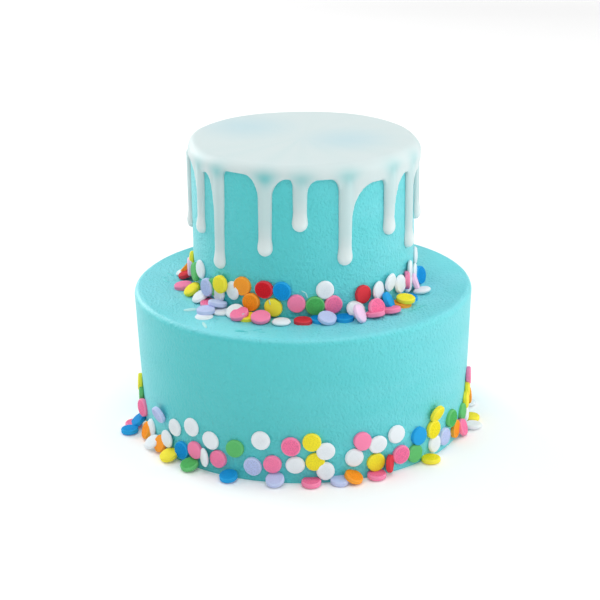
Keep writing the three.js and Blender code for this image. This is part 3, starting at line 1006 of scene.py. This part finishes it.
def allPlaces():
    flare = (lowerCream["shoulderRadius"] - lowerCream["footRadius"]) / lowerCream["height"]
    seeds = tablet["seeds"]
    yield from lyingPlaces(ledgeRows, lowerCream["height"], upperCream["radius"], tablet["sink"],
                           seeds["ledge"], upperShift)
    yield from wallPlaces(lowerWallRows, 0, lambda up: lowerCream["footRadius"] + flare * up,
                          seeds["lowerWall"])
    yield from lyingPlaces(floorRows, tablet["footGap"], lowerCream["footRadius"], 0, seeds["floor"])
    yield from wallPlaces(upperWallRows, upperFoot / mm, lambda up: upperCream["radius"],
                          seeds["upperWall"], upperShift)


def makeTablet(edgeWidth, dome, ring):
    # one tablet with a rounded edge and two faces that rise a little; rim marks its edge for the finish
    radius = tablet["radius"] * mm
    level = (tablet["thickness"] / 2 - dome) * mm
    bpy.ops.mesh.primitive_cylinder_add(vertices=tablet["sides"], radius=radius, depth=2 * level)
    piece = bpy.context.object
    startEdit(piece, "EDGE")
    pick("edges", lambda edge: abs(sum(heightsOf(edge))) > 2 * level - hair)
    bpy.ops.mesh.bevel(offset=edgeWidth * mm, segments=1, affect="EDGES")
    bpy.ops.mesh.select_mode(type="FACE")
    for side in (1, -1):
        pick("faces", lambda face: min(side * z for z in heightsOf(face)) > level - hair)
        bpy.ops.mesh.inset(thickness=ring * mm)
        bpy.ops.transform.translate(value=(0, 0, side * dome * mm))
    endEdit()
    points = pointsOf(piece)
    rimStart = radius - (edgeWidth + tablet["rimMargin"]) * mm
    storeOnPoints(piece, "rim", np.hypot(points[:, 0], points[:, 1]) > rimStart)
    return piece


def sugarFinish(name, colour, tint, grainDepth):
    # the edge is paler than the speckled faces, which have faded unevenly
    material, nodes, links, shader = newMaterial(name, colour, tablet["roughness"])
    shader.inputs["Specular IOR Level"].default_value = tablet["specular"]
    paler = tuple(c + (1 - c) * tablet["rimPaleness"] for c in colour)
    deeper = tuple(c * tint for c in colour)
    speckle = remap(nodes, links, objectNoise(nodes, links, tablet["speckle"] * mm, 2), 0.4, 0.65, 0, 1)
    shade = mixColours(nodes, links, speckle, colour, deeper)
    for attribute in ("fade", "rim"):
        shade = mixColours(nodes, links, storedValue(nodes, attribute), shade, paler)
    links.new(shade, shader.inputs["Base Color"])
    grain = objectNoise(nodes, links, tablet["grain"] * mm, 2)
    addBumps(nodes, links, shader, [(grain, grainDepth * mm)])
    return material


def plainSugar(kind, name, colour):
    if kind == "w":
        return sugarFinish(name, colour, tablet["whiteSpeckleTint"], tablet["whiteGrainDepth"])
    return sugarFinish(name, colour, tablet["speckleTint"], tablet["grainDepth"])


def makeConfetti():
    shapes = {kind: makeTablet(*form) for kind, (_, _, *form) in sugarKinds.items()}
    copies = {kind: [] for kind in sugarKinds}
    draws = seededDraws(tablet["seeds"]["sizes"])
    for kind, place in allPlaces():
        size = [1 + between(draws, -tablet["sizeDrift"], tablet["sizeDrift"]) for _ in range(2)]
        copy = placedCopy(shapes[kind], place @ Matrix.Diagonal((*size, 1, 1)))
        storeOnPoints(copy, "fade", [between(draws, *tablet["fade"])] * len(copy.data.vertices))
        copies[kind].append(copy)
    for kind, (name, colour, *_) in sugarKinds.items():
        removePiece(shapes[kind])
        piece = joinAll(name, copies[kind])
        shadeSmooth(piece, 32)
        dress(piece, plainSugar(kind, name, colour))
        handIn(piece, name, "lower_tier", "upper_tier")


makeConfetti()
print("the confetti is scattered")


# Dabs and smears

# Each has an angle from the front and a distance from the cake's axis, its height over the foot, the
# lean of what it lies on (0 on the ledge, 90 on a wall), its turn, and its length, width and rise.
creamDabs = [
    (-22.3, 99.1, 94.7, 0, 10, 9, 0.9, 0.3), (-23.4, 97.4, 94.7, 0, 16, 6, 0.7, 0.25),
    (-17.4, 93.7, 94.7, 0, 36, 6, 0.7, 0.25), (-15.2, 96.5, 94.7, 0, 4, 5, 0.6, 0.2),
    (-100.5, 89.1, 94.7, 0, 45, 9, 1.1, 0.4), (-96.5, 91.5, 94.7, 0, 60, 6, 0.9, 0.3),
    (-92.1, 89.1, 94.7, 0, 34, 8, 1.2, 0.4), (-0.8, 84, 94.7, 0, -7, 10, 0.8, 0.4),
    (16, 84.5, 94.7, 0, -18, 6, 0.7, 0.4), (52, 90, 94.7, 0, -4, 20, 0.8, 0.12),
]
smear = {"colour": (0.7, 0.89, 0.89), "roughness": 0.7}
sugarSmears = [
    (-53.4, 87.6, 94.7, 0, 70, 9, 5, 0.6), (-37.2, 99.9, 94.7, 0, -39, 11, 2.2, 0.45),
    (0.2, 71.2, 112, 90, -28, 3.2, 0.8, 0.4), (1.6, 71.2, 109.7, 90, -73, 3.6, 0.9, 0.4),
    (-26.5, 82.4, 98.9, 19, 40, 2.6, 1.1, 0.7), (-16.3, 73.7, 105.6, 90, -76, 4, 0.7, 0.3),
]


def makeDabs(name, dabs, material, slot):
    # flattened balls, half sunk into what they lie on
    bpy.ops.mesh.primitive_uv_sphere_add(segments=12, ring_count=8, radius=mm)
    shape = bpy.context.object
    copies = []
    for angle, distance, height, lean, turn, length, width, rise in dabs:
        place = placeOf(angle, distance, height, lean, 0, turn)
        copies.append(placedCopy(shape, place @ Matrix.Diagonal((length / 2, width / 2, rise, 1))))
    removePiece(shape)
    piece = joinAll(name, copies)
    shadeSmooth(piece, 180)
    dress(piece, material)
    handIn(piece, slot, "lower_tier")


smearMaterial = newMaterial("smearedSugar", smear["colour"], smear["roughness"])[0]
makeDabs("cream_dabs", creamDabs, creamMaterial, "buttercream")
makeDabs("sugar_smears", sugarSmears, smearMaterial, "sugar_white")
print("the cream is dabbed")
